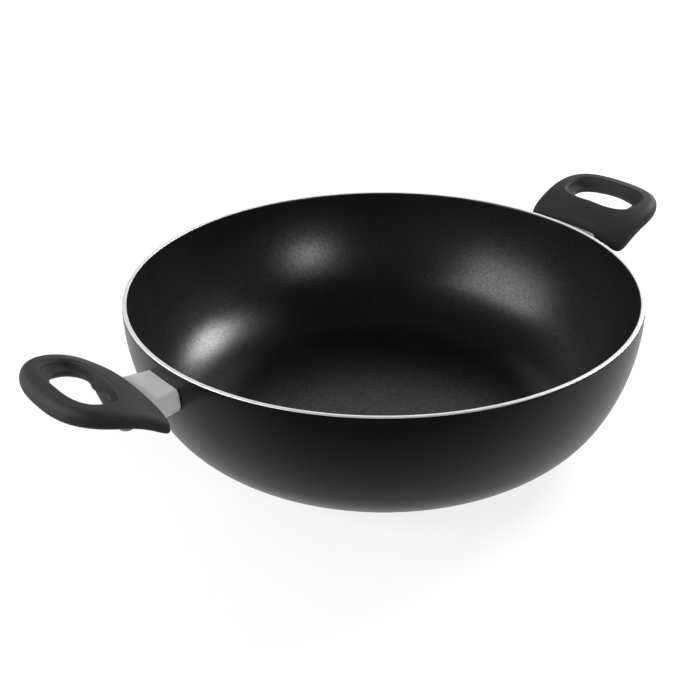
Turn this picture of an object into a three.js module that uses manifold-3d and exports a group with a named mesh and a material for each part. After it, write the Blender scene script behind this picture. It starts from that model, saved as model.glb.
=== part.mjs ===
// Deep frying pan with two loop handles.
// Millimetres, +Z up. The origin is the centre of the base, on the surface that the pan stands on.
// The handles lie along +X (right) and -X (left). A handle is drawn on the +X side: u runs outward from
// its pan-side edge, w runs across it along +Y.
import * as THREE from 'three';
import { mergeVertices } from 'three/addons/utils/BufferGeometryUtils.js';
import Module from 'manifold-3d';

// Pan body, pressed from one aluminium disc
const rimRadius = 140;
const panHeight = 81;
const sideReach = 58; // how far the rim stands out past the flat of the base
const cornerRadius = 52;
const cornerSweep = 63; // degrees turned by the corner arc before the wall arc takes over
const sheetThickness = 2.6;
const rimLand = 0.6; // flat top of the rim, between its two rounded edges
const footWidth = 12; // flat ring that the pan stands on
const dishDepth = 0.8; // turned recess inside the foot ring
const ringCount = 3; // turned grooves in the recess
const ringWidth = 5;
const ringDepth = 0.5;

// Handle moulding
const handleStandoff = 16.3; // from the rim out to the handle's pan-side edge
const handleLength = 48.9;
const handleHalfWidth = 37.2;
const widestAt = 17.7; // distance of the widest place from the pan-side edge
const earSharpness = 7.5; // exponent of the pan-side half of the outline
const tipSharpness = 2.7; // exponent of the outer half
const earReach = 1.4; // how far the ears reach past the middle of the pan-side edge
const tipRise = 9.6; // top of the outer end above the rim
const archRise = 14; // climb of the top from the pan side to the outer end
const archPower = 3.2; // how late the climb flattens out
const earDroop = 5.8; // how far the ears hang below the middle
const neckThickness = 5; // of the wings at the pan side
const tipThickness = 10.2;
const earThickening = 4.7;
const tipRounding = 7; // rounding of the top edge at the outer end
const sideRounding = 4.2; // at the sides and ears
const panEdgeRounding = 2.6; // and at the pan side
const tipUnderRounding = 4.2; // rounding of the lower edge at the outer end
const sideUnderRounding = 5.4; // at the sides and ears
const panUnderRounding = 1.6; // and at the pan side

// Finger hole through the handle, a funnel that narrows downward
const holeStart = 14.3; // upper edge of the hole from the pan-side edge
const holeFrontDepth = 11.3;
const holeBackDepth = 13.2;
const holeHalfLength = 25.2;
const holeFrontSharpness = 2.5;
const holeBackSharpness = 2.8;
const holeEndRounding = 3.2; // rounding of the hole's upper edge at its ends
const holeFrontRounding = 1.2; // at the pan side
const holeBackRounding = 1.8; // and at the outer bar
const holeEndUnderRounding = 4.4; // rounding of the hole's lower edge at its ends
const holeFrontUnderRounding = 1.8; // at the pan side
const holeBackUnderRounding = 4.2; // and at the outer bar
const funnelFront = 6; // how far the wall leans in at the pan side
const funnelEnds = 5;
const funnelBack = 1.6;

// Flame guard, a sheet-metal sleeve between wall and handle
const guardHalfWidth = 14; // below the rim
const guardFlare = 0.21; // widening of each side per millimetre towards the handle
const guardHeight = 14.5;
const guardSheet = 0.8;
const guardTopRadius = 2.6;
const guardBottomRadius = 6.6;
const guardCover = 4.2; // handle material above the guard
const guardInset = 2.5; // depth of the guard's recess in the handle

// Bracket welded to the wall, with a tongue that runs into the handle
const footThickness = 3.5;
const footMargin = 1; // foot beyond the fillet on each side
const bracketFillet = 3;
const tongueHalfWidth = 7;
const tongueThickness = 5;
const tongueEndMargin = 4; // tongue beyond the screw's axis

// Fixing screw from beneath, on a split lock washer
const screwInset = 5.2; // screw axis from the handle's pan-side edge
const screwRadius = 2;
const screwTip = 0.6;
const headRadius = 3.8;
const headHeight = 2;
const headDome = 0.9; // part of the head's height that is domed
const driveLength = 4.4;
const driveWidth = 1;
const driveDepth = 1.2;
const washerThickness = 0.9;
const washerRim = 1.3; // radial width of the washer
const washerSplit = 0.8;

// Boss under the neck that takes the guard, the tongue and the screw
const neckWall = 2.1; // handle material below the guard
const bossCurve = 14.2; // radius of the boss across the handle
const collarFlatness = 0.4; // share of that curve left at the pan-side end
const bossFlat = 6.4; // length of the boss before it climbs to the finger hole
const bossRun = 8.1; // length over which it climbs
const bossClimb = 14.6;
const blendDepth = 4; // size of the hollow where boss and wings meet
const seatDepth = 0.9; // spot face for the washer
const seatMargin = 0.6; // spot face beyond the screw head and the washer

// Clearances
const seatGap = 0.3; // between pieces that seat on each other
const slideGap = 0.3; // round the guard and the tongue in the handle, and round the screw's shank

// Facets
const latheSides = 64; // round the pan
const screwSides = 20; // round the screw, its holes and its washer
const stationCount = 56; // sections round the finger hole
const roundSteps = 3; // on a small rounding
const edgeSteps = 4; // on the handle's upper edge
const arcSteps = 6; // on a large arc

// Derived sizes and places
const baseRadius = rimRadius - sideReach;
const rimRounding = (sheetThickness - rimLand) / 2;
const footHalfWidth = tongueHalfWidth + bracketFillet + footMargin;
const handleStart = rimRadius + handleStandoff;
const holeCentre = holeStart + holeFrontDepth;
const tipTop = panHeight + tipRise;
const panSideTop = tipTop - archRise;
const guardTop = panSideTop - guardCover;
const guardBottom = guardTop - guardHeight;
const guardEnd = handleStart + guardInset - seatGap;
const tongueMiddle = guardTop - guardHeight / 2;
const screwX = handleStart + screwInset;
const tongueEnd = screwX + tongueEndMargin;
const bossBottom = guardBottom - neckWall;
const seatHeight = bossBottom + seatDepth;
const washerTop = seatHeight - seatGap;
const headTop = washerTop - washerThickness - seatGap;
const shankHole = screwRadius + slideGap;
const washerOuter = shankHole + washerRim;

// Working values
const reachPast = 20; // how far a cutting tool overshoots
const mergeDistance = 1e-4; // points nearer than this are one point
const halvings = 50; // steps of the search for an outline's edge
const quarterTurn = Math.PI / 2;

const wasm = await Module();
wasm.setup();

// Booleans on closed geometries

function solidOf(geometry) {
  const bare = geometry.clone();
  bare.deleteAttribute('normal');
  bare.deleteAttribute('uv');
  const merged = mergeVertices(bare, mergeDistance);
  return new wasm.Manifold(
    new wasm.Mesh({
      numProp: 3,
      vertProperties: new Float32Array(merged.attributes.position.array),
      triVerts: new Uint32Array(merged.index.array),
    }),
  );
}

function geometryOf(solid) {
  const mesh = solid.getMesh();
  const geometry = new THREE.BufferGeometry();
  geometry.setAttribute('position', new THREE.BufferAttribute(new Float32Array(mesh.vertProperties), 3));
  geometry.setIndex(new THREE.BufferAttribute(new Uint32Array(mesh.triVerts), 1));
  geometry.computeVertexNormals();
  return geometry;
}

function cut(geometry, ...tools) {
  let solid = solidOf(geometry);
  for (const tool of tools) {
    solid = solid.subtract(solidOf(tool));
  }
  return geometryOf(solid);
}

// Shapes

// Points on an arc in the (r, z) plane, from angle start to angle end.
function arc(centre, radius, start, end, steps) {
  return Array.from({ length: steps + 1 }, (_, i) => {
    const angle = start + ((end - start) * i) / steps;
    return new THREE.Vector2(Math.cos(angle), Math.sin(angle)).multiplyScalar(radius).add(centre);
  });
}

// A profile of (r, z) points turned about the Z axis.
function turned(profile, sides) {
  return new THREE.LatheGeometry(profile, sides).rotateX(quarterTurn);
}

// A shape drawn in (y, z) and extruded along X from one place to another.
function alongX(shape, from, to) {
  const geometry = new THREE.ExtrudeGeometry(shape, {
    depth: to - from,
    bevelEnabled: false,
    curveSegments: roundSteps,
  });
  const axes = new THREE.Matrix4().makeBasis(
    new THREE.Vector3(0, 1, 0),
    new THREE.Vector3(0, 0, 1),
    new THREE.Vector3(1, 0, 0),
  );
  return geometry.applyMatrix4(axes).translate(from, 0, 0);
}

// A shape drawn in (x, y) and extruded upward.
function upward(shape, from, to) {
  const geometry = new THREE.ExtrudeGeometry(shape, {
    depth: to - from,
    bevelEnabled: false,
    curveSegments: roundSteps,
  });
  return geometry.translate(0, 0, from);
}

function rod(radius, x, from, to, sides) {
  const geometry = new THREE.CylinderGeometry(radius, radius, to - from, sides);
  return geometry.rotateX(quarterTurn).translate(x, 0, (from + to) / 2);
}

function box(lowX, highX, halfWidth, lowZ, highZ) {
  const geometry = new THREE.BoxGeometry(highX - lowX, 2 * halfWidth, highZ - lowZ);
  return geometry.translate((lowX + highX) / 2, 0, (lowZ + highZ) / 2);
}

// Pan body

// The pan's side is a corner arc, tangent to the flat base, and a wall arc that leaves it at the same
// tangent and ends on the rim. inward draws the same two arcs on the inside of the sheet.
function sideProfile(inward) {
  const sweep = THREE.MathUtils.degToRad(cornerSweep);
  const cornerCentre = new THREE.Vector2(baseRadius, cornerRadius);
  const toCentre = new THREE.Vector2(-Math.sin(sweep), Math.cos(sweep));
  const cornerEnd = cornerCentre.clone().addScaledVector(toCentre, -cornerRadius);
  const chord = new THREE.Vector2(rimRadius, panHeight).sub(cornerEnd);
  const wallRadius = chord.lengthSq() / (2 * chord.dot(toCentre));
  const wallCentre = cornerEnd.clone().addScaledVector(toCentre, wallRadius);
  const wallStart = sweep - quarterTurn;
  const wallEnd = Math.asin((panHeight - wallCentre.y) / wallRadius);
  return [
    ...arc(cornerCentre, cornerRadius - inward, -quarterTurn, wallStart, arcSteps),
    ...arc(wallCentre, wallRadius - inward, wallStart, wallEnd, arcSteps).slice(1),
  ];
}

// Concentric turned grooves inside the foot ring, from the middle outward.
function baseProfile() {
  const dishRadius = baseRadius - footWidth;
  const pitch = dishRadius / (ringCount + 1);
  const points = [new THREE.Vector2(0, dishDepth)];
  for (let i = 1; i <= ringCount; i += 1) {
    const middle = pitch * i;
    points.push(new THREE.Vector2(middle - ringWidth / 2, dishDepth));
    points.push(new THREE.Vector2(middle, dishDepth + ringDepth));
    points.push(new THREE.Vector2(middle + ringWidth / 2, dishDepth));
  }
  points.push(new THREE.Vector2(dishRadius - dishDepth, dishDepth));
  points.push(new THREE.Vector2(dishRadius, 0));
  return points;
}

// Rounded lip between the outside and the inside of the sheet.
function rimProfile(outside, inside) {
  const outerCentre = new THREE.Vector2(outside.x - rimRounding, outside.y - rimRounding);
  const innerCentre = new THREE.Vector2(inside.x + rimRounding, outside.y - rimRounding);
  return [
    ...arc(outerCentre, rimRounding, 0, quarterTurn, roundSteps),
    ...arc(innerCentre, rimRounding, quarterTurn, 2 * quarterTurn, roundSteps),
  ];
}

function panBody() {
  const outside = sideProfile(0);
  const inside = sideProfile(sheetThickness);
  const lip = rimProfile(outside.pop(), inside.pop());
  return turned(
    [
      ...baseProfile(),
      ...outside,
      ...lip,
      ...inside.reverse(),
      new THREE.Vector2(0, sheetThickness),
    ],
    latheSides,
  );
}

// Everything inside the pan's outer wall, grown by a gap: it shapes what seats on the wall.
function wallEnvelope(gap) {
  const grown = sideProfile(-gap);
  const top = grown.at(-1).clone().setY(panHeight + reachPast);
  const foot = new THREE.Vector2(0, grown[0].y);
  return turned([foot, ...grown, top, new THREE.Vector2(0, top.y)], latheSides);
}

// Handle moulding

// Distance from the hole's centre, at an angle, to the edge of an outline in two halves. Each half is a
// superellipse about (centre, 0) with a depth, a sharpness and a bow that pulls its corners out.
function reach(angle, centre, front, back, halfWidth) {
  const fill = (distance) => {
    const along = holeCentre + distance * Math.cos(angle) - centre;
    const across = Math.abs(distance * Math.sin(angle)) / halfWidth;
    const half = along < 0 ? front : back;
    const depth = half.depth + half.bow * across ** 2;
    return Math.abs(along / depth) ** half.sharpness + across ** half.sharpness;
  };
  let low = 0;
  let high = 2 * (handleLength + handleHalfWidth);
  for (let i = 0; i < halvings; i += 1) {
    const middle = (low + high) / 2;
    if (fill(middle) < 1) {
      low = middle;
    } else {
      high = middle;
    }
  }
  return (low + high) / 2;
}

function outlineReach(angle) {
  const ears = { depth: widestAt, sharpness: earSharpness, bow: earReach };
  const tip = { depth: handleLength - widestAt, sharpness: tipSharpness, bow: 0 };
  return reach(angle, widestAt, ears, tip, handleHalfWidth);
}

function holeReach(angle) {
  const front = { depth: holeFrontDepth, sharpness: holeFrontSharpness, bow: 0 };
  const back = { depth: holeBackDepth, sharpness: holeBackSharpness, bow: 0 };
  return reach(angle, holeCentre, front, back, holeHalfLength);
}

// A size that changes with the angle round the hole: its pan side, its two ends and its outer side.
function around(angle, panSide, ends, outside) {
  const along = Math.cos(angle);
  const middle = along < 0 ? panSide : outside;
  return middle * along ** 2 + ends * Math.sin(angle) ** 2;
}

// The top arches up from the pan to the outer end, and its ears droop.
function topHeight(u, w) {
  const inward = Math.max(0, 1 - u / handleLength);
  const across = w / handleHalfWidth;
  return tipTop - archRise * inward ** archPower - earDroop * across ** 2 * inward;
}

// The underside of the wings follows the top, thicker at the outer end and at the ears. The boss hangs
// below it at the pan side, broad at the pan and climbing to the finger hole. A smooth minimum hollows
// the corner between the two.
function undersideHeight(u, w) {
  const inward = Math.max(0, 1 - u / handleLength);
  const across = w / handleHalfWidth;
  const thickness = THREE.MathUtils.lerp(tipThickness, neckThickness, inward ** 2);
  const wing = topHeight(u, w) - thickness - earThickening * across ** 2 * inward;
  const climb = Math.max(0, u - bossFlat) / bossRun;
  const bow = THREE.MathUtils.lerp(collarFlatness, 1, THREE.MathUtils.smoothstep(u, 0, bossFlat));
  const boss = bossBottom + (bow * w ** 2) / (2 * bossCurve) + bossClimb * climb ** 2;
  const mix = THREE.MathUtils.clamp(0.5 + (boss - wing) / (2 * blendDepth), 0, 1);
  return boss + (wing - boss) * mix - blendDepth * mix * (1 - mix);
}

// One section of the moulding, cut from the hole outward at an angle round the hole. It runs up the
// hole's wall, over the top, down the outer edge and back along the underside.
function handleSection(angle) {
  const inner = holeReach(angle);
  const wide = outlineReach(angle) - inner;
  const limit = wide / 2;
  const edge = Math.min(around(angle, panEdgeRounding, sideRounding, tipRounding), limit);
  const under = Math.min(around(angle, panUnderRounding, sideUnderRounding, tipUnderRounding), limit);
  const lip = Math.min(around(angle, holeFrontRounding, holeEndRounding, holeBackRounding), limit);
  const underLip = Math.min(
    around(angle, holeFrontUnderRounding, holeEndUnderRounding, holeBackUnderRounding),
    limit,
  );
  const lean = around(angle, funnelFront, funnelEnds, funnelBack);
  const points = [];
  const place = (distance, height) => {
    const u = holeCentre + (inner + distance) * Math.cos(angle);
    const w = (inner + distance) * Math.sin(angle);
    points.push(new THREE.Vector3(handleStart + u, w, height(u, w)));
  };
  const top = (distance, drop) => place(distance, (u, w) => topHeight(u, w) - drop);
  const bottom = (distance, lift) => {
    const leant = distance - lean * (1 - distance / wide);
    place(leant, (u, w) => undersideHeight(u, w) + lift);
  };
  const rounded = (steps, point) => {
    for (let i = 0; i <= steps; i += 1) {
      const turn = (quarterTurn * i) / steps;
      point(1 - Math.cos(turn), 1 - Math.sin(turn));
    }
  };
  rounded(roundSteps, (near, far) => top(lip * near, lip * far));
  top((lip + wide - edge) / 2, 0);
  rounded(edgeSteps, (near, far) => top(wide - edge * far, edge * near));
  rounded(roundSteps, (near, far) => bottom(wide - under * near, under * far));
  for (let i = 1; i < arcSteps; i += 1) {
    bottom(THREE.MathUtils.lerp(wide - under, underLip, i / arcSteps), 0);
  }
  rounded(roundSteps, (near, far) => bottom(underLip * far, underLip * near));
  return points;
}

// Closed loft through rings of equally many points, the last ring joined to the first.
function closedLoft(rings) {
  const size = rings[0].length;
  const corner = (ring, point) => (ring % rings.length) * size + (point % size);
  const triangles = [];
  rings.forEach((_, ring) => {
    for (let point = 0; point < size; point += 1) {
      const a = corner(ring, point);
      const b = corner(ring + 1, point);
      const c = corner(ring + 1, point + 1);
      const d = corner(ring, point + 1);
      triangles.push(a, c, b, a, d, c);
    }
  });
  const geometry = new THREE.BufferGeometry().setFromPoints(rings.flat());
  geometry.setIndex(triangles);
  return geometry;
}

// Section of the guard in (y, z), grown by a margin: flat on top, rounder below.
function guardSection(margin) {
  const side = guardHalfWidth + margin;
  const top = guardTop + margin;
  const bottom = guardBottom - margin;
  const upper = guardTopRadius + margin;
  const lower = guardBottomRadius + margin;
  const shape = new THREE.Shape();
  shape.absarc(side - lower, bottom + lower, lower, -quarterTurn, 0);
  shape.absarc(side - upper, top - upper, upper, 0, quarterTurn);
  shape.absarc(upper - side, top - upper, upper, quarterTurn, 2 * quarterTurn);
  shape.absarc(lower - side, bottom + lower, lower, 2 * quarterTurn, 3 * quarterTurn);
  shape.closePath();
  return shape;
}

// The guard's section, grown by a margin, drawn out along X and widening towards the handle.
function guardSleeve(margin, from, to) {
  const sleeve = alongX(guardSection(margin), from, to);
  const places = sleeve.attributes.position;
  for (let i = 0; i < places.count; i += 1) {
    const widening = (guardFlare * (places.getX(i) - rimRadius)) / guardHalfWidth;
    places.setY(i, places.getY(i) * (1 + widening));
  }
  return sleeve;
}

function handle() {
  const stations = Array.from({ length: stationCount }, (_, i) => (2 * Math.PI * i) / stationCount);
  const moulding = closedLoft(stations.map(handleSection));
  const guardRecess = guardSleeve(slideGap, handleStart - reachPast, handleStart + guardInset);
  const tongueSlot = box(
    handleStart - reachPast,
    tongueEnd + slideGap,
    tongueHalfWidth + slideGap,
    tongueMiddle - tongueThickness / 2 - slideGap,
    tongueMiddle + tongueThickness / 2 + slideGap,
  );
  const below = bossBottom - reachPast;
  const screwHole = rod(shankHole, screwX, below, tongueMiddle, screwSides);
  const seatRadius = Math.max(headRadius, washerOuter) + seatMargin;
  const spotFace = rod(seatRadius, screwX, below, seatHeight, screwSides);
  return cut(moulding, guardRecess, tongueSlot, screwHole, spotFace);
}

// Flame guard

function flameGuard() {
  const sleeve = guardSleeve(0, rimRadius - reachPast, guardEnd);
  const bore = guardSleeve(-guardSheet, rimRadius - reachPast, guardEnd + reachPast);
  return cut(sleeve, bore, wallEnvelope(seatGap));
}

// Bracket

// A length of T section: the foot follows the wall, the tongue carries the screw's thread.
function bracket() {
  const shoulder = rimRadius + footThickness;
  const inside = rimRadius - reachPast;
  const neck = shoulder + bracketFillet;
  const neckSide = tongueHalfWidth + bracketFillet;
  const end = tongueEnd - bracketFillet;
  const endSide = tongueHalfWidth - bracketFillet;
  const shape = new THREE.Shape();
  shape.moveTo(inside, -footHalfWidth);
  shape.lineTo(shoulder, -footHalfWidth);
  shape.lineTo(shoulder, -neckSide);
  shape.absarc(neck, -neckSide, bracketFillet, 2 * quarterTurn, quarterTurn, true);
  shape.absarc(end, -endSide, bracketFillet, -quarterTurn, 0);
  shape.absarc(end, endSide, bracketFillet, 0, quarterTurn);
  shape.absarc(neck, neckSide, bracketFillet, -quarterTurn, -2 * quarterTurn, true);
  shape.lineTo(shoulder, footHalfWidth);
  shape.lineTo(inside, footHalfWidth);
  shape.closePath();
  const low = tongueMiddle - tongueThickness / 2;
  const high = tongueMiddle + tongueThickness / 2;
  const thread = rod(shankHole, screwX, low - reachPast, high + reachPast, screwSides);
  return cut(upward(shape, low, high), thread, wallEnvelope(seatGap));
}

// Screw and washer

function screw() {
  const shankEnd = tongueMiddle + tongueThickness / 2;
  const headBottom = headTop - headHeight;
  const crown = new THREE.Vector2(0, headBottom + headDome);
  const dome = arc(crown, 1, -quarterTurn, 0, arcSteps).map(
    (point) => new THREE.Vector2(point.x * headRadius, crown.y + (point.y - crown.y) * headDome),
  );
  const profile = [
    ...dome,
    new THREE.Vector2(headRadius, headTop),
    new THREE.Vector2(screwRadius, headTop),
    new THREE.Vector2(screwRadius, shankEnd - screwTip),
    new THREE.Vector2(screwRadius - screwTip, shankEnd),
    new THREE.Vector2(0, shankEnd),
  ];
  const blank = turned(profile, screwSides).translate(screwX, 0, 0);
  const depth = headBottom + driveDepth;
  const slotLow = headBottom - reachPast;
  const slot = (length, width) =>
    box(screwX - length / 2, screwX + length / 2, width / 2, slotLow, depth);
  return cut(blank, slot(driveLength, driveWidth), slot(driveWidth, driveLength));
}

function washer() {
  const low = washerTop - washerThickness;
  const ring = turned(
    [
      new THREE.Vector2(shankHole, low),
      new THREE.Vector2(washerOuter, low),
      new THREE.Vector2(washerOuter, washerTop),
      new THREE.Vector2(shankHole, washerTop),
      new THREE.Vector2(shankHole, low),
    ],
    screwSides,
  ).translate(screwX, 0, 0);
  const past = screwX + washerOuter + reachPast;
  const split = box(screwX, past, washerSplit / 2, low - reachPast, washerTop + reachPast);
  return cut(ring, split);
}

// Finishes and assembly

function finish(color, roughness, metalness) {
  return new THREE.MeshStandardMaterial({ color, roughness, metalness });
}

const blackCoating = finish(0x1b1b1c, 0.5, 0.2);
const blackPhenolic = finish(0x2b2b2c, 0.55, 0);
const satinSteel = finish(0xb3b4b6, 0.4, 0.9);
const sawnAluminium = finish(0xa5a7aa, 0.5, 0.9);
const zincSteel = finish(0x9a9ca0, 0.35, 0.9);

const pan = new THREE.Group();

function piece(name, geometry, material, parent) {
  const mesh = new THREE.Mesh(geometry, material.clone());
  mesh.name = name;
  parent.add(mesh);
}

piece('pan_body', panBody(), blackCoating, pan);

const fittings = [
  ['handle', handle(), blackPhenolic],
  ['flame_guard', flameGuard(), satinSteel],
  ['bracket', bracket(), sawnAluminium],
  ['screw', screw(), zincSteel],
  ['lock_washer', washer(), zincSteel],
];
const sides = [
  ['right', 0],
  ['left', Math.PI],
];

for (const [side, turn] of sides) {
  const handleSet = new THREE.Group();
  handleSet.rotation.z = turn;
  for (const [part, geometry, material] of fittings) {
    piece(`${side}_${part}`, geometry, material, handleSet);
  }
  pan.add(handleSet);
}

export default pan;
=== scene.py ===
import bpy
import numpy as np
from mathutils import Matrix, Vector


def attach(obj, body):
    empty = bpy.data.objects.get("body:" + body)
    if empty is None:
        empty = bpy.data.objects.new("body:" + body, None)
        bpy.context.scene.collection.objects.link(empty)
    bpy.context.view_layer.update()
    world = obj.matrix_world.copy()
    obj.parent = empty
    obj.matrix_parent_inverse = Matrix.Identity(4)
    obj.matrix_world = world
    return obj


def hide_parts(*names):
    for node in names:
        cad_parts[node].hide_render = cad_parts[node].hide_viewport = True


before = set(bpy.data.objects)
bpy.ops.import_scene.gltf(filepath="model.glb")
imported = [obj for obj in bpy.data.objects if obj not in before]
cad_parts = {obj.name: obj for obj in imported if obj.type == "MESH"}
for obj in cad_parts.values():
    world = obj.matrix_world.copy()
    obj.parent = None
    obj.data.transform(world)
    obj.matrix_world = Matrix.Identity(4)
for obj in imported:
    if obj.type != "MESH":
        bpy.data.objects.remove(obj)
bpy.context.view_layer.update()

# Pan body
# The bowl is pressed from one aluminium disc. Black non-stick is baked on its inside and satin black
# lacquer on its outside. Its rim is turned bright afterwards, and its base is turned in rings.

rim_radius = 0.140
pan_height = 0.081
base_radius = 0.082
corner_radius = 0.052
corner_sweep = np.radians(63)
sheet = 0.0026
rim_land = 0.0006
foot_width = 0.012
dish_depth = 0.0008
ring_count = 3
ring_width = 0.005
ring_depth = 0.0005
foot_inset = 0.0006
hub_radius = 0.0004  # innermost ring of points, which a fan closes
rim_gap = 0.0002  # the walls' points stop this far below the rim's own
corner_steps = 44
wall_steps = 40
dish_steps = 72
floor_steps = 14
rim_steps = 9
pan_sides = 320


def arc(centre, radius, start, end, count):
    """Points on a circle: the centre plus the radius times (cosine, sine) of evenly spaced angles."""
    angle = np.linspace(start, end, count)
    return np.asarray(centre) + radius * np.stack([np.cos(angle), np.sin(angle)], axis=1)


def bowl_side(inward):
    """The bowl's side as (radius, height) from base to rim: a corner arc tangent to the flat base, then a
    wall arc that leaves it at the same tangent and ends on the rim. inward moves both into the sheet."""
    to_centre = np.array([-np.sin(corner_sweep), np.cos(corner_sweep)])
    corner_centre = np.array([base_radius, corner_radius])
    corner_end = corner_centre - corner_radius * to_centre
    chord = np.array([rim_radius, pan_height]) - corner_end
    wall_radius = chord @ chord / (2 * chord @ to_centre)
    wall_centre = corner_end + wall_radius * to_centre
    wall_start = corner_sweep - np.pi / 2
    wall_end = np.arcsin((pan_height - wall_centre[1]) / wall_radius)
    corner = arc(corner_centre, corner_radius - inward, -np.pi / 2, wall_start, corner_steps)
    wall = arc(wall_centre, wall_radius - inward, wall_start, wall_end, wall_steps)
    return np.concatenate([corner, wall[1:]])


def turned_base():
    """Underside as (radius, height) from near the middle outward: a shallow dish with rings of raised-cosine
    grooves at an even pitch, a chamfer, and the flat foot ring that the pan stands on."""
    dish = base_radius - foot_width
    radius = np.linspace(hub_radius, dish - dish_depth, dish_steps)
    pitch = dish / (ring_count + 1)
    nearest = np.clip(np.round(radius / pitch), 1, ring_count) * pitch
    across = np.clip(np.abs(radius - nearest) / (ring_width / 2), 0, 1)
    height = dish_depth + ring_depth * (1 + np.cos(np.pi * across)) / 2
    foot = [[dish, 0.0], [dish + foot_inset, 0.0], [base_radius - foot_inset, 0.0]]
    return np.concatenate([np.stack([radius, height], axis=1), foot])


def turned_rim():
    """Lip of the rim as (radius, height): a quarter round outside, a flat land, a quarter round inside."""
    rounding = (sheet - rim_land) / 2
    outer = arc((rim_radius - rounding, pan_height - rounding), rounding, 0, np.pi / 2, rim_steps)
    inner_centre = (rim_radius - sheet + rounding, pan_height - rounding)
    return np.concatenate([outer, arc(inner_centre, rounding, np.pi / 2, np.pi, rim_steps)])


def turned(profile, sides):
    """Surface of revolution about Z: the profile's (r, z) at angle t goes to (r cos t, r sin t, z)."""
    angle = np.linspace(0, 2 * np.pi, sides, endpoint=False)
    radius, height = profile[:, 0, None], profile[:, 1, None]
    return np.stack([radius * np.cos(angle), radius * np.sin(angle), height + 0 * angle], axis=-1)


def make_piece(name, grid, looped=False, start=None, end=None, crease=None):
    """A mesh object from rings of points. Quads join neighbouring rings, each ring closed on itself; looped
    joins the last ring to the first, and start and end are points that close the outer rings with fans.
    Faces are turned over where the enclosed volume comes out negative. Edges over the crease are sharp."""
    rings, size = grid.shape[:2]
    index = np.arange(rings * size).reshape(rings, size)
    rows = np.concatenate([index, index[:1]]) if looped else index
    beside = np.roll(rows, -1, axis=1)
    quads = np.stack([rows[:-1], beside[:-1], beside[1:], rows[1:]], axis=-1).reshape(-1, 4)
    points = grid.reshape(-1, 3)
    fans = np.zeros((0, 3), int)
    for tip, near, far in ((start, beside[0], rows[0]), (end, rows[-1], beside[-1])):
        if tip is not None:
            middle = np.full(size, len(points))
            points = np.concatenate([points, [tip]])
            fans = np.concatenate([fans, np.stack([middle, near, far], axis=1)])
    triangles = np.concatenate([quads[:, [0, 1, 2]], quads[:, [0, 2, 3]], fans])
    a, b, c = (points[triangles[:, k]] for k in range(3))
    if np.einsum("ij,ij->", a, np.cross(b, c)) < 0:
        quads, fans = quads[:, ::-1], fans[:, ::-1]
    mesh = bpy.data.meshes.new(name)
    mesh.from_pydata(points.tolist(), [], quads.tolist() + fans.tolist())
    mesh.polygons.foreach_set("use_smooth", np.ones(len(mesh.polygons), bool))
    if crease is not None:
        mesh.set_sharp_from_angle(angle=crease)
    piece = bpy.data.objects.new(name, mesh)
    bpy.context.scene.collection.objects.link(piece)
    return piece


def fit(piece, node, slot, *materials):
    """Puts a piece in a CAD node's place on the pan, with its materials. The slot is not used."""
    for material in materials:
        piece.data.materials.append(material)
    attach(piece, "root")
    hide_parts(node)


def add_node(tree, kind, inputs=None, **settings):
    """A shader node with its settings. An input is a plain value, or a socket that is linked to it."""
    made = tree.nodes.new(kind)
    for name, value in settings.items():
        setattr(made, name, value)
    for name, value in (inputs or {}).items():
        if isinstance(value, bpy.types.NodeSocket):
            tree.links.new(value, made.inputs[name])
        else:
            made.inputs[name].default_value = value
    return made


def new_group(name, inputs, outputs):
    """An empty shader node group with number sockets: its tree, its input node and its output node."""
    tree = bpy.data.node_groups.new(name, "ShaderNodeTree")
    for label, value in inputs.items():
        tree.interface.new_socket(label, in_out="INPUT", socket_type="NodeSocketFloat").default_value = value
    for label in outputs:
        tree.interface.new_socket(label, in_out="OUTPUT", socket_type="NodeSocketFloat")
    return tree, tree.nodes.new("NodeGroupInput"), tree.nodes.new("NodeGroupOutput")


def grain_group():
    """Grain of a coating or a moulding: fine noise for its height, and broad soft patches for its gloss."""
    tree, given, result = new_group("coat grain", {"Grains per metre": 1500.0, "Patches per metre": 30.0},
                                    ["Height", "Patches"])
    place = add_node(tree, "ShaderNodeTexCoord").outputs["Object"]
    fine = add_node(tree, "ShaderNodeTexNoise", {
        "Vector": place, "Scale": given.outputs["Grains per metre"], "Detail": 2.0, "Roughness": 0.6})
    broad = add_node(tree, "ShaderNodeTexNoise", {
        "Vector": place, "Scale": given.outputs["Patches per metre"], "Detail": 3.0, "Roughness": 0.55})
    tree.links.new(fine.outputs["Fac"], result.inputs["Height"])
    tree.links.new(broad.outputs["Fac"], result.inputs["Patches"])
    return tree


def turning_group():
    """Lines left by a turning tool: noise along the distance from the axis less the height."""
    tree, given, result = new_group("turning lines", {"Lines per metre": 3000.0}, ["Height"])
    place = add_node(tree, "ShaderNodeTexCoord").outputs["Object"]
    flat = add_node(tree, "ShaderNodeVectorMath", {0: place, 1: (1.0, 1.0, 0.0)}, operation="MULTIPLY")
    radius = add_node(tree, "ShaderNodeVectorMath", {0: flat.outputs[0]}, operation="LENGTH")
    height = add_node(tree, "ShaderNodeSeparateXYZ", {0: place}).outputs["Z"]
    along = add_node(tree, "ShaderNodeMath", {0: radius.outputs["Value"], 1: height}, operation="SUBTRACT")
    lines = add_node(tree, "ShaderNodeTexNoise", {
        "W": along.outputs[0], "Scale": given.outputs["Lines per metre"], "Detail": 2.0},
        noise_dimensions="1D")
    tree.links.new(lines.outputs["Fac"], result.inputs["Height"])
    return tree


coat_grain = grain_group()
turning_lines = turning_group()
noise_low, noise_high = 0.3, 0.7  # the range that most of a noise's values lie in


def new_finish(name, values):
    """A material with its constant values set on the Principled shader's own sockets."""
    material = bpy.data.materials.new(name)
    material.use_nodes = True
    shader = material.node_tree.nodes["Principled BSDF"]
    for socket, value in values.items():
        shader.inputs[socket].default_value = value
    return material, material.node_tree, shader


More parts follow.
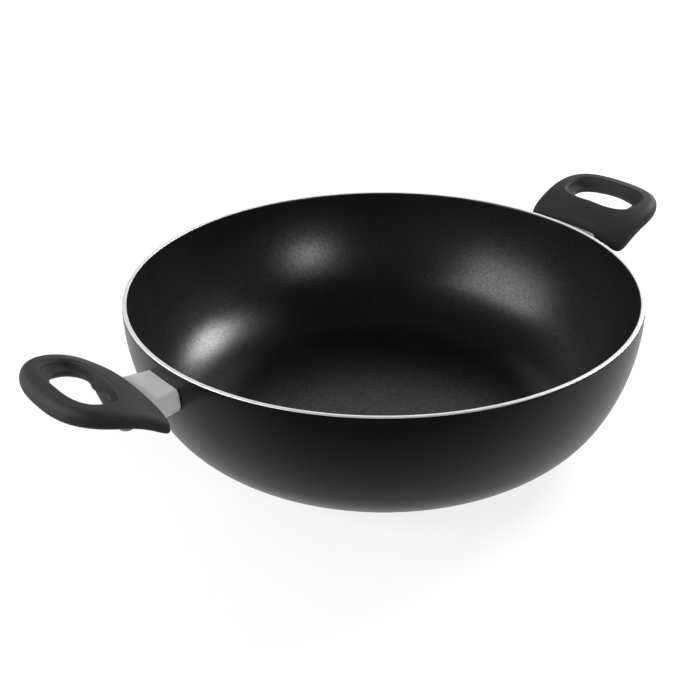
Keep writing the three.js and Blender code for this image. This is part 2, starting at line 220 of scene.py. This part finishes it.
def spread(tree, source, low, high):
    """A noise's value stretched from its usual range to run from low to high."""
    return add_node(tree, "ShaderNodeMapRange", {
        "Value": source, "From Min": noise_low, "From Max": noise_high,
        "To Min": low, "To Max": high}).outputs["Result"]


def tint(tree, share, first, second):
    """Colour that goes from the first to the second over a noise's usual range."""
    ramp = add_node(tree, "ShaderNodeValToRGB", {"Fac": share})
    for stop, (position, colour) in zip(ramp.color_ramp.elements, ((noise_low, first), (noise_high, second))):
        stop.position = position
        stop.color = (*colour, 1.0)
    return ramp.outputs["Color"]


def coated(name, values, grains, patches, dark, light, gloss, bump, depth, sparkle=None):
    """A coating or moulding: grain for the bump, patches for small shifts of colour and roughness. A finish
    that sparkles has a clear coat whose weight changes from grain to grain, from the first to the second."""
    material, tree, shader = new_finish(name, values)
    grain = add_node(tree, "ShaderNodeGroup", {"Grains per metre": grains, "Patches per metre": patches},
                     node_tree=coat_grain)
    relief = add_node(tree, "ShaderNodeBump", {"Strength": bump, "Distance": depth,
                                               "Height": grain.outputs["Height"]})
    tree.links.new(tint(tree, grain.outputs["Patches"], dark, light), shader.inputs["Base Color"])
    tree.links.new(spread(tree, grain.outputs["Patches"], *gloss), shader.inputs["Roughness"])
    tree.links.new(relief.outputs["Normal"], shader.inputs["Normal"])
    if sparkle:
        tree.links.new(spread(tree, grain.outputs["Height"], *sparkle), shader.inputs["Coat Weight"])
    return material


def turned_metal(name, values, lines, dark, light, gloss, bump, depth):
    """Bare metal with tool marks: fine rings in its relief, its colour and its roughness."""
    material, tree, shader = new_finish(name, values)
    turning = add_node(tree, "ShaderNodeGroup", {"Lines per metre": lines}, node_tree=turning_lines)
    relief = add_node(tree, "ShaderNodeBump", {"Strength": bump, "Distance": depth,
                                               "Height": turning.outputs["Height"]})
    tree.links.new(tint(tree, turning.outputs["Height"], dark, light), shader.inputs["Base Color"])
    tree.links.new(spread(tree, turning.outputs["Height"], *gloss), shader.inputs["Roughness"])
    tree.links.new(relief.outputs["Normal"], shader.inputs["Normal"])
    return material


non_stick = coated("non-stick", {"Specular IOR Level": 0.0, "Coat IOR": 1.5, "Coat Roughness": 0.31},
                   grains=900.0, patches=35.0, dark=(0.0075, 0.0075, 0.0075), light=(0.0105, 0.0105, 0.0105),
                   gloss=(0.30, 0.36), bump=0.3, depth=0.0001, sparkle=(0.45, 1.0))
lacquer = coated("satin lacquer", {"IOR": 1.26}, grains=900.0, patches=22.0, dark=(0.003, 0.003, 0.003),
                 light=(0.004, 0.004, 0.004), gloss=(0.30, 0.35), bump=0.15, depth=0.00005)
bright_rim = turned_metal("turned rim", {"Metallic": 0.5}, lines=4000.0, dark=(0.74, 0.74, 0.75),
                          light=(0.83, 0.83, 0.83), gloss=(0.34, 0.44), bump=0.2, depth=0.00003)
turned_bottom = turned_metal("turned base", {"Metallic": 1.0}, lines=1400.0, dark=(0.50, 0.50, 0.51),
                             light=(0.62, 0.62, 0.63), gloss=(0.30, 0.42), bump=0.5, depth=0.00006)
coated_inside, lacquered_outside, bare_rim, bare_base = range(4)  # order of the bowl's materials

rim = turned_rim()
rim_lacquered = 3  # rows of the rim's outer rounding that the lacquer laps over
rim_coated = 5  # rows of its inner rounding that the non-stick laps over
below_rim = rim[0, 1] - rim_gap
outside = bowl_side(0.0)
inside = bowl_side(sheet)
floor_radius = np.linspace(base_radius, hub_radius, floor_steps)[1:]
stretches = [
    (turned_base(), bare_base),
    (outside[outside[:, 1] < below_rim], lacquered_outside),
    (rim[:rim_lacquered], lacquered_outside),
    (rim[rim_lacquered:-rim_coated], bare_rim),
    (rim[-rim_coated:], coated_inside),
    (inside[inside[:, 1] < below_rim][::-1], coated_inside),
    (np.stack([floor_radius, np.full(len(floor_radius), sheet)], axis=1), coated_inside),
]
pan_profile = np.concatenate([points for points, _ in stretches])
pan_grid = turned(pan_profile, pan_sides)
pan = make_piece("pan_bowl", pan_grid, start=(0, 0, dish_depth), end=(0, 0, sheet))
fit(pan, "pan_body", "coated_aluminium", non_stick, lacquer, bright_rim, turned_bottom)
row_finish = np.concatenate([np.full(len(points), finish) for points, finish in stretches])
face_finish = np.repeat([*row_finish[:-1], bare_base, coated_inside], pan_sides)
pan.data.polygons.foreach_set("material_index", face_finish.astype(np.int32))

# Brackets
# A length of aluminium T section is welded to the wall on each side. Its tongue runs through the flame
# guard into the handle and carries the screw's thread. The bare metal shows the marks of the saw.

sawn_aluminium = turned_metal("sawn aluminium", {"Metallic": 1.0}, lines=1800.0, dark=(0.52, 0.53, 0.54),
                              light=(0.66, 0.67, 0.68), gloss=(0.38, 0.52), bump=0.4, depth=0.00005)
for side in ("right", "left"):
    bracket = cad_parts[f"{side}_bracket"]
    bracket.data.materials.clear()
    bracket.data.materials.append(sawn_aluminium)

# Flame guards
# A sleeve of satin sheet metal fills the space between wall and handle. Its inner end follows the
# wall, it widens outward, and its outer end is trapped in a recess of the handle.

guard_half_width = 0.014
guard_flare = 0.21
guard_top = 0.0724
guard_height = 0.0145
guard_sheet = 0.0008
guard_top_radius = 0.0026
guard_bottom_radius = 0.0066
guard_end = 0.1585
seat_gap = 0.0003
guard_top_steps = 12
guard_bottom_steps = 16
guard_steps = 12
guard_crease = np.radians(40)
meeting_rounds = 8


def guard_section(margin):
    """Rounded section as (across, height): four quarter rounds in turn, larger below than above."""
    half = guard_half_width + margin
    top, bottom = guard_top + margin, guard_top - guard_height - margin
    upper, lower = guard_top_radius + margin, guard_bottom_radius + margin
    turn = np.pi / 2
    corners = [
        arc((half - lower, bottom + lower), lower, -turn, 0, guard_bottom_steps),
        arc((half - upper, top - upper), upper, 0, turn, guard_top_steps),
        arc((upper - half, top - upper), upper, turn, 2 * turn, guard_top_steps),
        arc((lower - half, bottom + lower), lower, 2 * turn, 3 * turn, guard_bottom_steps),
    ]
    return np.concatenate(corners)


def guard_skin(margin, share):
    """Points of the sleeve at shares of the way from the wall to its outer end. The width grows evenly with
    the distance out, and the wall end is where the sleeve's line meets the pan's round wall."""
    across, height = guard_section(margin).T
    wall = bowl_side(0.0)
    wall_radius = np.interp(height, wall[:, 1], wall[:, 0]) + seat_gap
    start = np.full(len(across), rim_radius)
    for _ in range(meeting_rounds):
        wide = across * (1 + guard_flare * (start - rim_radius) / guard_half_width)
        start = np.sqrt(wall_radius ** 2 - wide ** 2)
    out = start + np.asarray(share)[:, None] * (guard_end - start)
    wide = across * (1 + guard_flare * (out - rim_radius) / guard_half_width)
    return np.stack([out, wide, height + 0 * out], axis=-1)


def both_sides(grid):
    """The right-hand grid, and the same turned half round the Z axis for the left."""
    return (("right", grid), ("left", grid * np.array([-1.0, -1.0, 1.0])))


guard_metal = coated("satin guard metal", {"Metallic": 0.1}, grains=1600.0, patches=60.0,
                     dark=(0.88, 0.88, 0.89), light=(0.94, 0.94, 0.95), gloss=(0.32, 0.40), bump=0.12,
                     depth=0.00004)
guard_share = np.linspace(0, 1, guard_steps)
guard_grid = np.concatenate([guard_skin(0.0, guard_share), guard_skin(-guard_sheet, guard_share[::-1])])
for side, grid in both_sides(guard_grid):
    guard = make_piece(f"{side}_guard_sleeve", grid, looped=True, crease=guard_crease)
    fit(guard, f"{side}_flame_guard", "satin_steel", guard_metal)

# Handles
# Each handle is one black phenolic moulding: a flat loop round a finger hole, with ears that droop
# towards the pan and a boss beneath that takes the guard, the bracket's tongue and the screw.

handle_start = 0.1563
handle_length = 0.0489
handle_half_width = 0.0372
widest_at = 0.0177
ear_sharpness = 7.5
tip_sharpness = 2.7
ear_reach = 0.0014
tip_top = 0.0906
arch_rise = 0.014
arch_power = 3.2
ear_droop = 0.0058
neck_thickness = 0.005
tip_thickness = 0.0102
ear_thickening = 0.0047
tip_rounding = 0.007
side_rounding = 0.0042
pan_edge_rounding = 0.0026
tip_under_rounding = 0.0042
side_under_rounding = 0.0054
pan_under_rounding = 0.0016
hole_start = 0.0143
hole_front_depth = 0.0113
hole_back_depth = 0.0132
hole_half_length = 0.0252
hole_front_sharpness = 2.5
hole_back_sharpness = 2.8
hole_end_rounding = 0.0032
hole_front_rounding = 0.0012
hole_back_rounding = 0.0018
hole_end_under_rounding = 0.0044
hole_front_under_rounding = 0.0018
hole_back_under_rounding = 0.0042
funnel_front = 0.006
funnel_ends = 0.005
funnel_back = 0.0016
boss_bottom = 0.0558
boss_curve = 0.0142
collar_flatness = 0.4
boss_flat = 0.0064
boss_run = 0.0081
boss_climb = 0.0146
blend_depth = 0.004
hole_centre = hole_start + hole_front_depth
stations = 256
rounding_steps = 11
face_steps = 30
edge_steps = 8
halvings = 50


def smooth_step(value):
    """The S curve 3t^2 - 2t^3 of a value held between 0 and 1."""
    held = np.clip(value, 0, 1)
    return held * held * (3 - 2 * held)


def edge_reach(angle, middle, half_width, front, back):
    """Distance from the hole's centre to an outline, at each angle, found by halving. The outline's two
    halves are superellipses with a depth, a sharpness and a bow that pulls their corners out."""
    low = np.zeros_like(angle)
    high = np.full_like(angle, 2 * (handle_length + handle_half_width))
    for _ in range(halvings):
        reach = (low + high) / 2
        along = hole_centre + reach * np.cos(angle) - middle
        across = np.abs(reach * np.sin(angle)) / half_width
        depth, sharpness, bow = (np.where(along < 0, f, b) for f, b in zip(front, back))
        fill = np.abs(along / (depth + bow * across ** 2)) ** sharpness + across ** sharpness
        low, high = np.where(fill < 1, reach, low), np.where(fill < 1, high, reach)
    return (low + high) / 2


def top_height(u, w):
    """Height of the top: it arches up to the outer end, and its ears droop towards the pan."""
    inward = np.maximum(0, 1 - u / handle_length)
    return tip_top - arch_rise * inward ** arch_power - ear_droop * (w / handle_half_width) ** 2 * inward


def underside_height(u, w):
    """Height of the underside: the wings follow the top at a set thickness, the boss hangs below them at the
    pan and climbs to the finger hole, and a smooth minimum hollows the corner between them."""
    inward = np.maximum(0, 1 - u / handle_length)
    thickness = tip_thickness + (neck_thickness - tip_thickness) * inward ** 2
    wing = top_height(u, w) - thickness - ear_thickening * (w / handle_half_width) ** 2 * inward
    climb = np.maximum(0, u - boss_flat) / boss_run
    bow = collar_flatness + (1 - collar_flatness) * smooth_step(u / boss_flat)
    boss = boss_bottom + bow * w ** 2 / (2 * boss_curve) + boss_climb * climb ** 2
    mix = np.clip(0.5 + (boss - wing) / (2 * blend_depth), 0, 1)
    return boss + (wing - boss) * mix - blend_depth * mix * (1 - mix)


def handle_grid():
    """Rings round the moulding, one for each angle round the finger hole. A ring runs over the top, down the
    outer edge, back along the underside, and up the hole's funnel wall."""
    angle = np.linspace(0, 2 * np.pi, stations, endpoint=False)
    cosine, sine = np.cos(angle), np.sin(angle)
    inner = edge_reach(angle, hole_centre, hole_half_length, (hole_front_depth, hole_front_sharpness, 0.0),
                       (hole_back_depth, hole_back_sharpness, 0.0))
    outer = edge_reach(angle, widest_at, handle_half_width, (widest_at, ear_sharpness, ear_reach),
                       (handle_length - widest_at, tip_sharpness, 0.0))
    wide = (outer - inner)[:, None]

    def around(pan_side, ends, outside):
        """A value for each angle: that of the pan's or the outer side times the cosine squared, plus that of
        the ends times the sine squared."""
        return (np.where(cosine < 0, pan_side, outside) * cosine ** 2 + ends * sine ** 2)[:, None]

    edge = np.minimum(around(pan_edge_rounding, side_rounding, tip_rounding), wide / 2)
    under = np.minimum(around(pan_under_rounding, side_under_rounding, tip_under_rounding), wide / 2)
    lip = np.minimum(around(hole_front_rounding, hole_end_rounding, hole_back_rounding), wide / 2)
    under_lip = np.minimum(
        around(hole_front_under_rounding, hole_end_under_rounding, hole_back_under_rounding), wide / 2)
    lean = around(funnel_front, funnel_ends, funnel_back)
    turn = np.linspace(0, np.pi / 2, rounding_steps)
    near, far = 1 - np.cos(turn), 1 - np.sin(turn)
    step = np.linspace(0, 1, face_steps)[1:-1]
    flat = 0 * wide * step

    def place(distance, height, shift):
        """Points on each angle's ray at distances from the hole's edge, at the height there plus a shift."""
        reach = inner[:, None] + distance
        u = hole_centre + reach * cosine[:, None]
        w = reach * sine[:, None]
        return np.stack([handle_start + u, w, height(u, w) + shift], axis=-1)

    top_distance = np.concatenate([lip * near, lip + (wide - edge - lip) * step, wide - edge * far], axis=1)
    top = place(top_distance, top_height, -np.concatenate([lip * far, flat, edge * near], axis=1))
    under_distance = np.concatenate([wide - under * near, wide - under + (under + under_lip - wide) * step,
                                     under_lip * far], axis=1)
    lift = np.concatenate([under * far, flat, under_lip * near], axis=1)
    bottom = place(under_distance - lean * (1 - under_distance / wide), underside_height, lift)
    share = np.linspace(0, 1, edge_steps)[1:-1, None]
    outer_wall = top[:, -1:] + (bottom[:, :1] - top[:, -1:]) * share
    hole_wall = bottom[:, -1:] + (top[:, :1] - bottom[:, -1:]) * share
    return np.concatenate([top, outer_wall, bottom, hole_wall], axis=1)


phenolic = coated("satin phenolic", {"IOR": 1.37}, grains=1100.0, patches=70.0, dark=(0.018, 0.018, 0.0185),
                  light=(0.022, 0.022, 0.0225), gloss=(0.66, 0.74), bump=0.2, depth=0.00006)
for side, grid in both_sides(handle_grid()):
    handle = make_piece(f"{side}_loop_handle", grid, looped=True)
    fit(handle, f"{side}_handle", "black_phenolic", phenolic)

# Lock washers and screws
# A split spring washer and a cross-head screw of zinc-plated steel hold each handle from beneath. The
# screw turns into the tongue of the bracket. Their zinc colour is darkened far below bright zinc, as painted
# shade for the shade they sit in under the handle.

screw_out = 0.1615
seat_height = 0.0567
shank_hole = 0.0023
washer_rim = 0.0013
washer_thickness = 0.0009
washer_split = 0.0008
washer_top = seat_height - seat_gap
washer_chamfer = 0.00012
washer_steps = 72
washer_crease = np.radians(30)
shank_radius = 0.002
shank_end = 0.06765
thread_pitch = 0.0007
thread_depth = 0.0003
head_radius = 0.0038
head_height = 0.002
head_dome = 0.0009
head_top = washer_top - washer_thickness - seat_gap
drive_length = 0.0044
drive_width = 0.001
drive_depth = 0.0012
drive_slope = 0.0003
dome_start = 0.02  # angle that the dome's first ring keeps from the axis
dome_steps = 34
shank_steps = 150
screw_sides = 96
screw_crease = np.radians(50)


def washer_grid():
    """Rings of the washer's oblong section with chamfered corners, at angles from one side of the split to
    the other."""
    middle = shank_hole + washer_rim / 2
    half = np.array([washer_rim, washer_thickness]) / 2
    corner = np.array([[1, 1], [-1, 1], [-1, -1], [1, -1]])
    first = corner * (half - [0, washer_chamfer])
    second = corner * (half - [washer_chamfer, 0])
    swap = np.array([0, 1, 0, 1], bool)[:, None]
    section = np.stack([np.where(swap, second, first), np.where(swap, first, second)], axis=1).reshape(-1, 2)
    open_angle = washer_split / 2 / middle
    angle = np.linspace(open_angle, 2 * np.pi - open_angle, washer_steps)[:, None]
    radius = middle + section[:, 0]
    height = washer_top - washer_thickness / 2 + section[:, 1]
    return np.stack([screw_out + radius * np.cos(angle), radius * np.sin(angle), height + 0 * angle], axis=-1)


def screw_grid():
    """Rings of the screw about its axis: a domed head sunk by a cross recess, a flat bearing face, and a
    shank cut by a helical groove, which deepens over the first pitch from the head."""
    head_bottom = head_top - head_height
    dome = arc((0, 0), 1.0, -np.pi / 2 + dome_start, 0, dome_steps)
    dome = dome * [head_radius, head_dome] + [0, head_bottom + head_dome]
    bearing = np.array([[head_radius, head_top], [shank_radius, head_top]])
    shank_height = np.linspace(head_top, shank_end, shank_steps)
    shank = np.stack([np.full(shank_steps, shank_radius), shank_height], axis=1)
    grid = turned(np.concatenate([dome, bearing, shank]), screw_sides)
    x, y, z = np.moveaxis(grid, -1, 0)
    long_slot = np.maximum(np.abs(x) - drive_length / 2, np.abs(y) - drive_width / 2)
    cross_slot = np.maximum(np.abs(y) - drive_length / 2, np.abs(x) - drive_width / 2)
    sunk = smooth_step(0.5 - np.minimum(long_slot, cross_slot) / drive_slope)
    on_dome = (np.arange(len(grid)) < len(dome))[:, None]
    z = np.where(on_dome, z + (head_bottom + drive_depth - z) * sunk, z)
    turn = np.arctan2(y, x) / (2 * np.pi)
    phase = (z / thread_pitch - turn) % 1
    groove = thread_depth * (1 - np.abs(2 * phase - 1))
    deepening = smooth_step((z - head_top) / thread_pitch)
    on_shank = (np.arange(len(grid)) >= len(dome) + len(bearing))[:, None]
    narrow = np.where(on_shank, 1 - groove * deepening / shank_radius, 1.0)
    return np.stack([screw_out + x * narrow, y * narrow, z], axis=-1)


# Painted shade: the zinc's colour is darkened to stand in for the shade under the handle.
shade_darkened_zinc = coated("zinc plating", {"Metallic": 1.0}, grains=1500.0, patches=400.0, dark=(0.20, 0.20, 0.21),
              light=(0.28, 0.28, 0.29), gloss=(0.34, 0.46), bump=0.15, depth=0.00003)
washer_rings = washer_grid()
for side, grid in both_sides(washer_rings):
    washer = make_piece(f"{side}_spring_washer", grid, start=grid[0].mean(axis=0), end=grid[-1].mean(axis=0),
                        crease=washer_crease)
    fit(washer, f"{side}_lock_washer", "zinc_steel", shade_darkened_zinc)
screw_rings = screw_grid()
for side, grid in both_sides(screw_rings):
    screw = make_piece(f"{side}_cross_screw", grid, start=grid[0].mean(axis=0), end=grid[-1].mean(axis=0),
                       crease=screw_crease)
    fit(screw, f"{side}_screw", "zinc_steel", shade_darkened_zinc)

# Floor
# A plain sheet under the pan, which keeps its shadow and is clear from below. The camera sees it white, and
# so do reflections, where the white fades towards the camera's side of the room.

floor_reach = 30.0
floor_grey = (0.25, 0.25, 0.25, 1.0)
mirrored_until, mirrored_none = 0.10, 0.26  # metres towards the camera where reflections lose the floor
shadow_reach, white_reach = 0.4, 1.1  # metres from the middle, between which the floor goes to pure white
shadow_white = 0.82
to_camera = (-0.652, -0.758, 0.0)
floor_mesh = bpy.data.meshes.new("studio_floor")
floor_corners = floor_reach * np.array([[-1, -1, 0], [1, -1, 0], [1, 1, 0], [-1, 1, 0]])
floor_mesh.from_pydata(floor_corners.tolist(), [], [[0, 1, 2, 3]])
floor = bpy.data.objects.new("studio_floor", floor_mesh)
bpy.context.scene.collection.objects.link(floor)


def fade_out(tree, value, full_until, none_from, full=1.0):
    """The full value up to full_until, falling in an S curve to 0 at none_from."""
    return add_node(tree, "ShaderNodeMapRange", {
        "Value": value, "From Min": full_until, "From Max": none_from, "To Min": full, "To Max": 0.0},
        interpolation_type="SMOOTHSTEP").outputs["Result"]


def seen_white(tree, share):
    """1 for a ray from the camera, the share for one that gloss or glass sends on, and 0 for all others."""
    path = add_node(tree, "ShaderNodeLightPath")
    sent_on = add_node(tree, "ShaderNodeMath", {
        0: path.outputs["Is Glossy Ray"], 1: path.outputs["Is Transmission Ray"]}, operation="MAXIMUM")
    shared = add_node(tree, "ShaderNodeMath", {0: sent_on.outputs[0], 1: share}, operation="MULTIPLY")
    return add_node(tree, "ShaderNodeMath", {0: path.outputs["Is Camera Ray"], 1: shared.outputs[0]},
                    operation="MAXIMUM").outputs[0]


floor_paint = bpy.data.materials.new("floor paint")
floor_paint.use_nodes = True
floor_tree = floor_paint.node_tree
floor_tree.nodes.clear()
floor_matt = add_node(floor_tree, "ShaderNodeBsdfDiffuse", {"Color": floor_grey})
floor_place = add_node(floor_tree, "ShaderNodeTexCoord").outputs["Object"]
floor_along = add_node(floor_tree, "ShaderNodeVectorMath", {0: floor_place, 1: to_camera},
                       operation="DOT_PRODUCT").outputs["Value"]
floor_seen = seen_white(floor_tree, fade_out(floor_tree, floor_along, mirrored_until, mirrored_none))
floor_away = add_node(floor_tree, "ShaderNodeVectorMath", {0: floor_place}, operation="LENGTH")
floor_lift = add_node(floor_tree, "ShaderNodeMapRange", {
    "Value": floor_away.outputs["Value"], "From Min": shadow_reach, "From Max": white_reach,
    "To Min": shadow_white, "To Max": 1.0})
floor_glow = add_node(floor_tree, "ShaderNodeMath", {0: floor_seen, 1: floor_lift.outputs["Result"]},
                      operation="MULTIPLY")
floor_white = add_node(floor_tree, "ShaderNodeEmission", {"Strength": floor_glow.outputs[0]})
floor_sum = add_node(floor_tree, "ShaderNodeAddShader", {0: floor_matt.outputs[0], 1: floor_white.outputs[0]})
floor_back = add_node(floor_tree, "ShaderNodeNewGeometry")
floor_clear = add_node(floor_tree, "ShaderNodeBsdfTransparent")
floor_mix = add_node(floor_tree, "ShaderNodeMixShader", {
    0: floor_back.outputs["Backfacing"], 1: floor_sum.outputs[0], 2: floor_clear.outputs[0]})
add_node(floor_tree, "ShaderNodeOutputMaterial", {"Surface": floor_mix.outputs[0]})
floor_mesh.materials.append(floor_paint)

# Studio light
# Four softboxes stand low round the pan, the one at the back weak. A white backdrop stands behind it, and
# the room is dim overhead and on the camera's side.

world = bpy.data.worlds.new("studio")
bpy.context.scene.world = world
world.use_nodes = True
sky_tree = world.node_tree
sky_tree.nodes.clear()
sky_fill = 0.10
sky_mirrored = 0.8
backdrop_until, backdrop_none = -0.5, 0.35  # share of a direction that points towards the camera
backdrop_top, dark_above = 0.30, 0.80  # share of a direction that points up
sky_place = add_node(sky_tree, "ShaderNodeTexCoord").outputs["Generated"]
sky_along = add_node(sky_tree, "ShaderNodeVectorMath", {0: sky_place, 1: to_camera},
                     operation="DOT_PRODUCT").outputs["Value"]
sky_height = add_node(sky_tree, "ShaderNodeSeparateXYZ", {0: sky_place}).outputs["Z"]
sky_share = add_node(sky_tree, "ShaderNodeMath", {
    0: fade_out(sky_tree, sky_along, backdrop_until, backdrop_none),
    1: fade_out(sky_tree, sky_height, backdrop_top, dark_above, sky_mirrored)}, operation="MULTIPLY")
sky_seen = seen_white(sky_tree, sky_share.outputs[0])
sky_mix = add_node(sky_tree, "ShaderNodeMapRange", {"Value": sky_seen, "To Min": sky_fill, "To Max": 1.0})
sky = add_node(sky_tree, "ShaderNodeBackground", {"Color": (1.0, 1.0, 1.0, 1.0),
                                                  "Strength": sky_mix.outputs["Result"]})
add_node(sky_tree, "ShaderNodeOutputWorld", {"Surface": sky.outputs[0]})

# Each softbox: azimuth and elevation in degrees, then distance, width and height in metres, and watts.
softboxes = [
    ("left_softbox", -114.0, 26.0, 0.9, 0.75, 0.48, 8.1),
    ("right_softbox", 86.0, 31.0, 0.9, 0.36, 0.28, 8.8),
    ("front_softbox", -1.0, 14.0, 0.9, 0.22, 0.08, 2.4),
    ("back_softbox", 139.0, 38.0, 1.1, 0.50, 0.30, 0.65),
]
light_target = Vector((0.0, 0.0, 0.04))
for name, azimuth, elevation, distance, width, height, power in softboxes:
    a, e = np.radians(azimuth), np.radians(elevation)
    toward = Vector((np.sin(a) * np.cos(e), -np.cos(a) * np.cos(e), np.sin(e)))
    lamp = bpy.data.lights.new(name, "AREA")
    lamp.shape = "RECTANGLE"
    lamp.size, lamp.size_y = width, height
    lamp.energy = power
    softbox = bpy.data.objects.new(name, lamp)
    softbox.location = light_target + distance * toward
    softbox.rotation_euler = (-toward).to_track_quat("-Z", "Y").to_euler()
    bpy.context.scene.collection.objects.link(softbox)

# Camera
# It stands at the photo's angle.

camera_place = Vector((-0.3850, -0.4476, 0.3576))
camera_aim = Vector((-0.0265, 0.0041, 0.0534))
camera_roll = np.radians(-0.98)
lens = bpy.data.cameras.new("photo_camera")
lens.lens = 63.29
lens.sensor_width = 36.0
camera = bpy.data.objects.new("photo_camera", lens)
camera.location = camera_place
level = (camera_aim - camera_place).to_track_quat("-Z", "Y").to_matrix()
camera.rotation_euler = (level @ Matrix.Rotation(camera_roll, 3, "Z")).to_euler()
bpy.context.scene.collection.objects.link(camera)
bpy.context.scene.camera = camera
bpy.context.scene.view_settings.view_transform = "Standard"
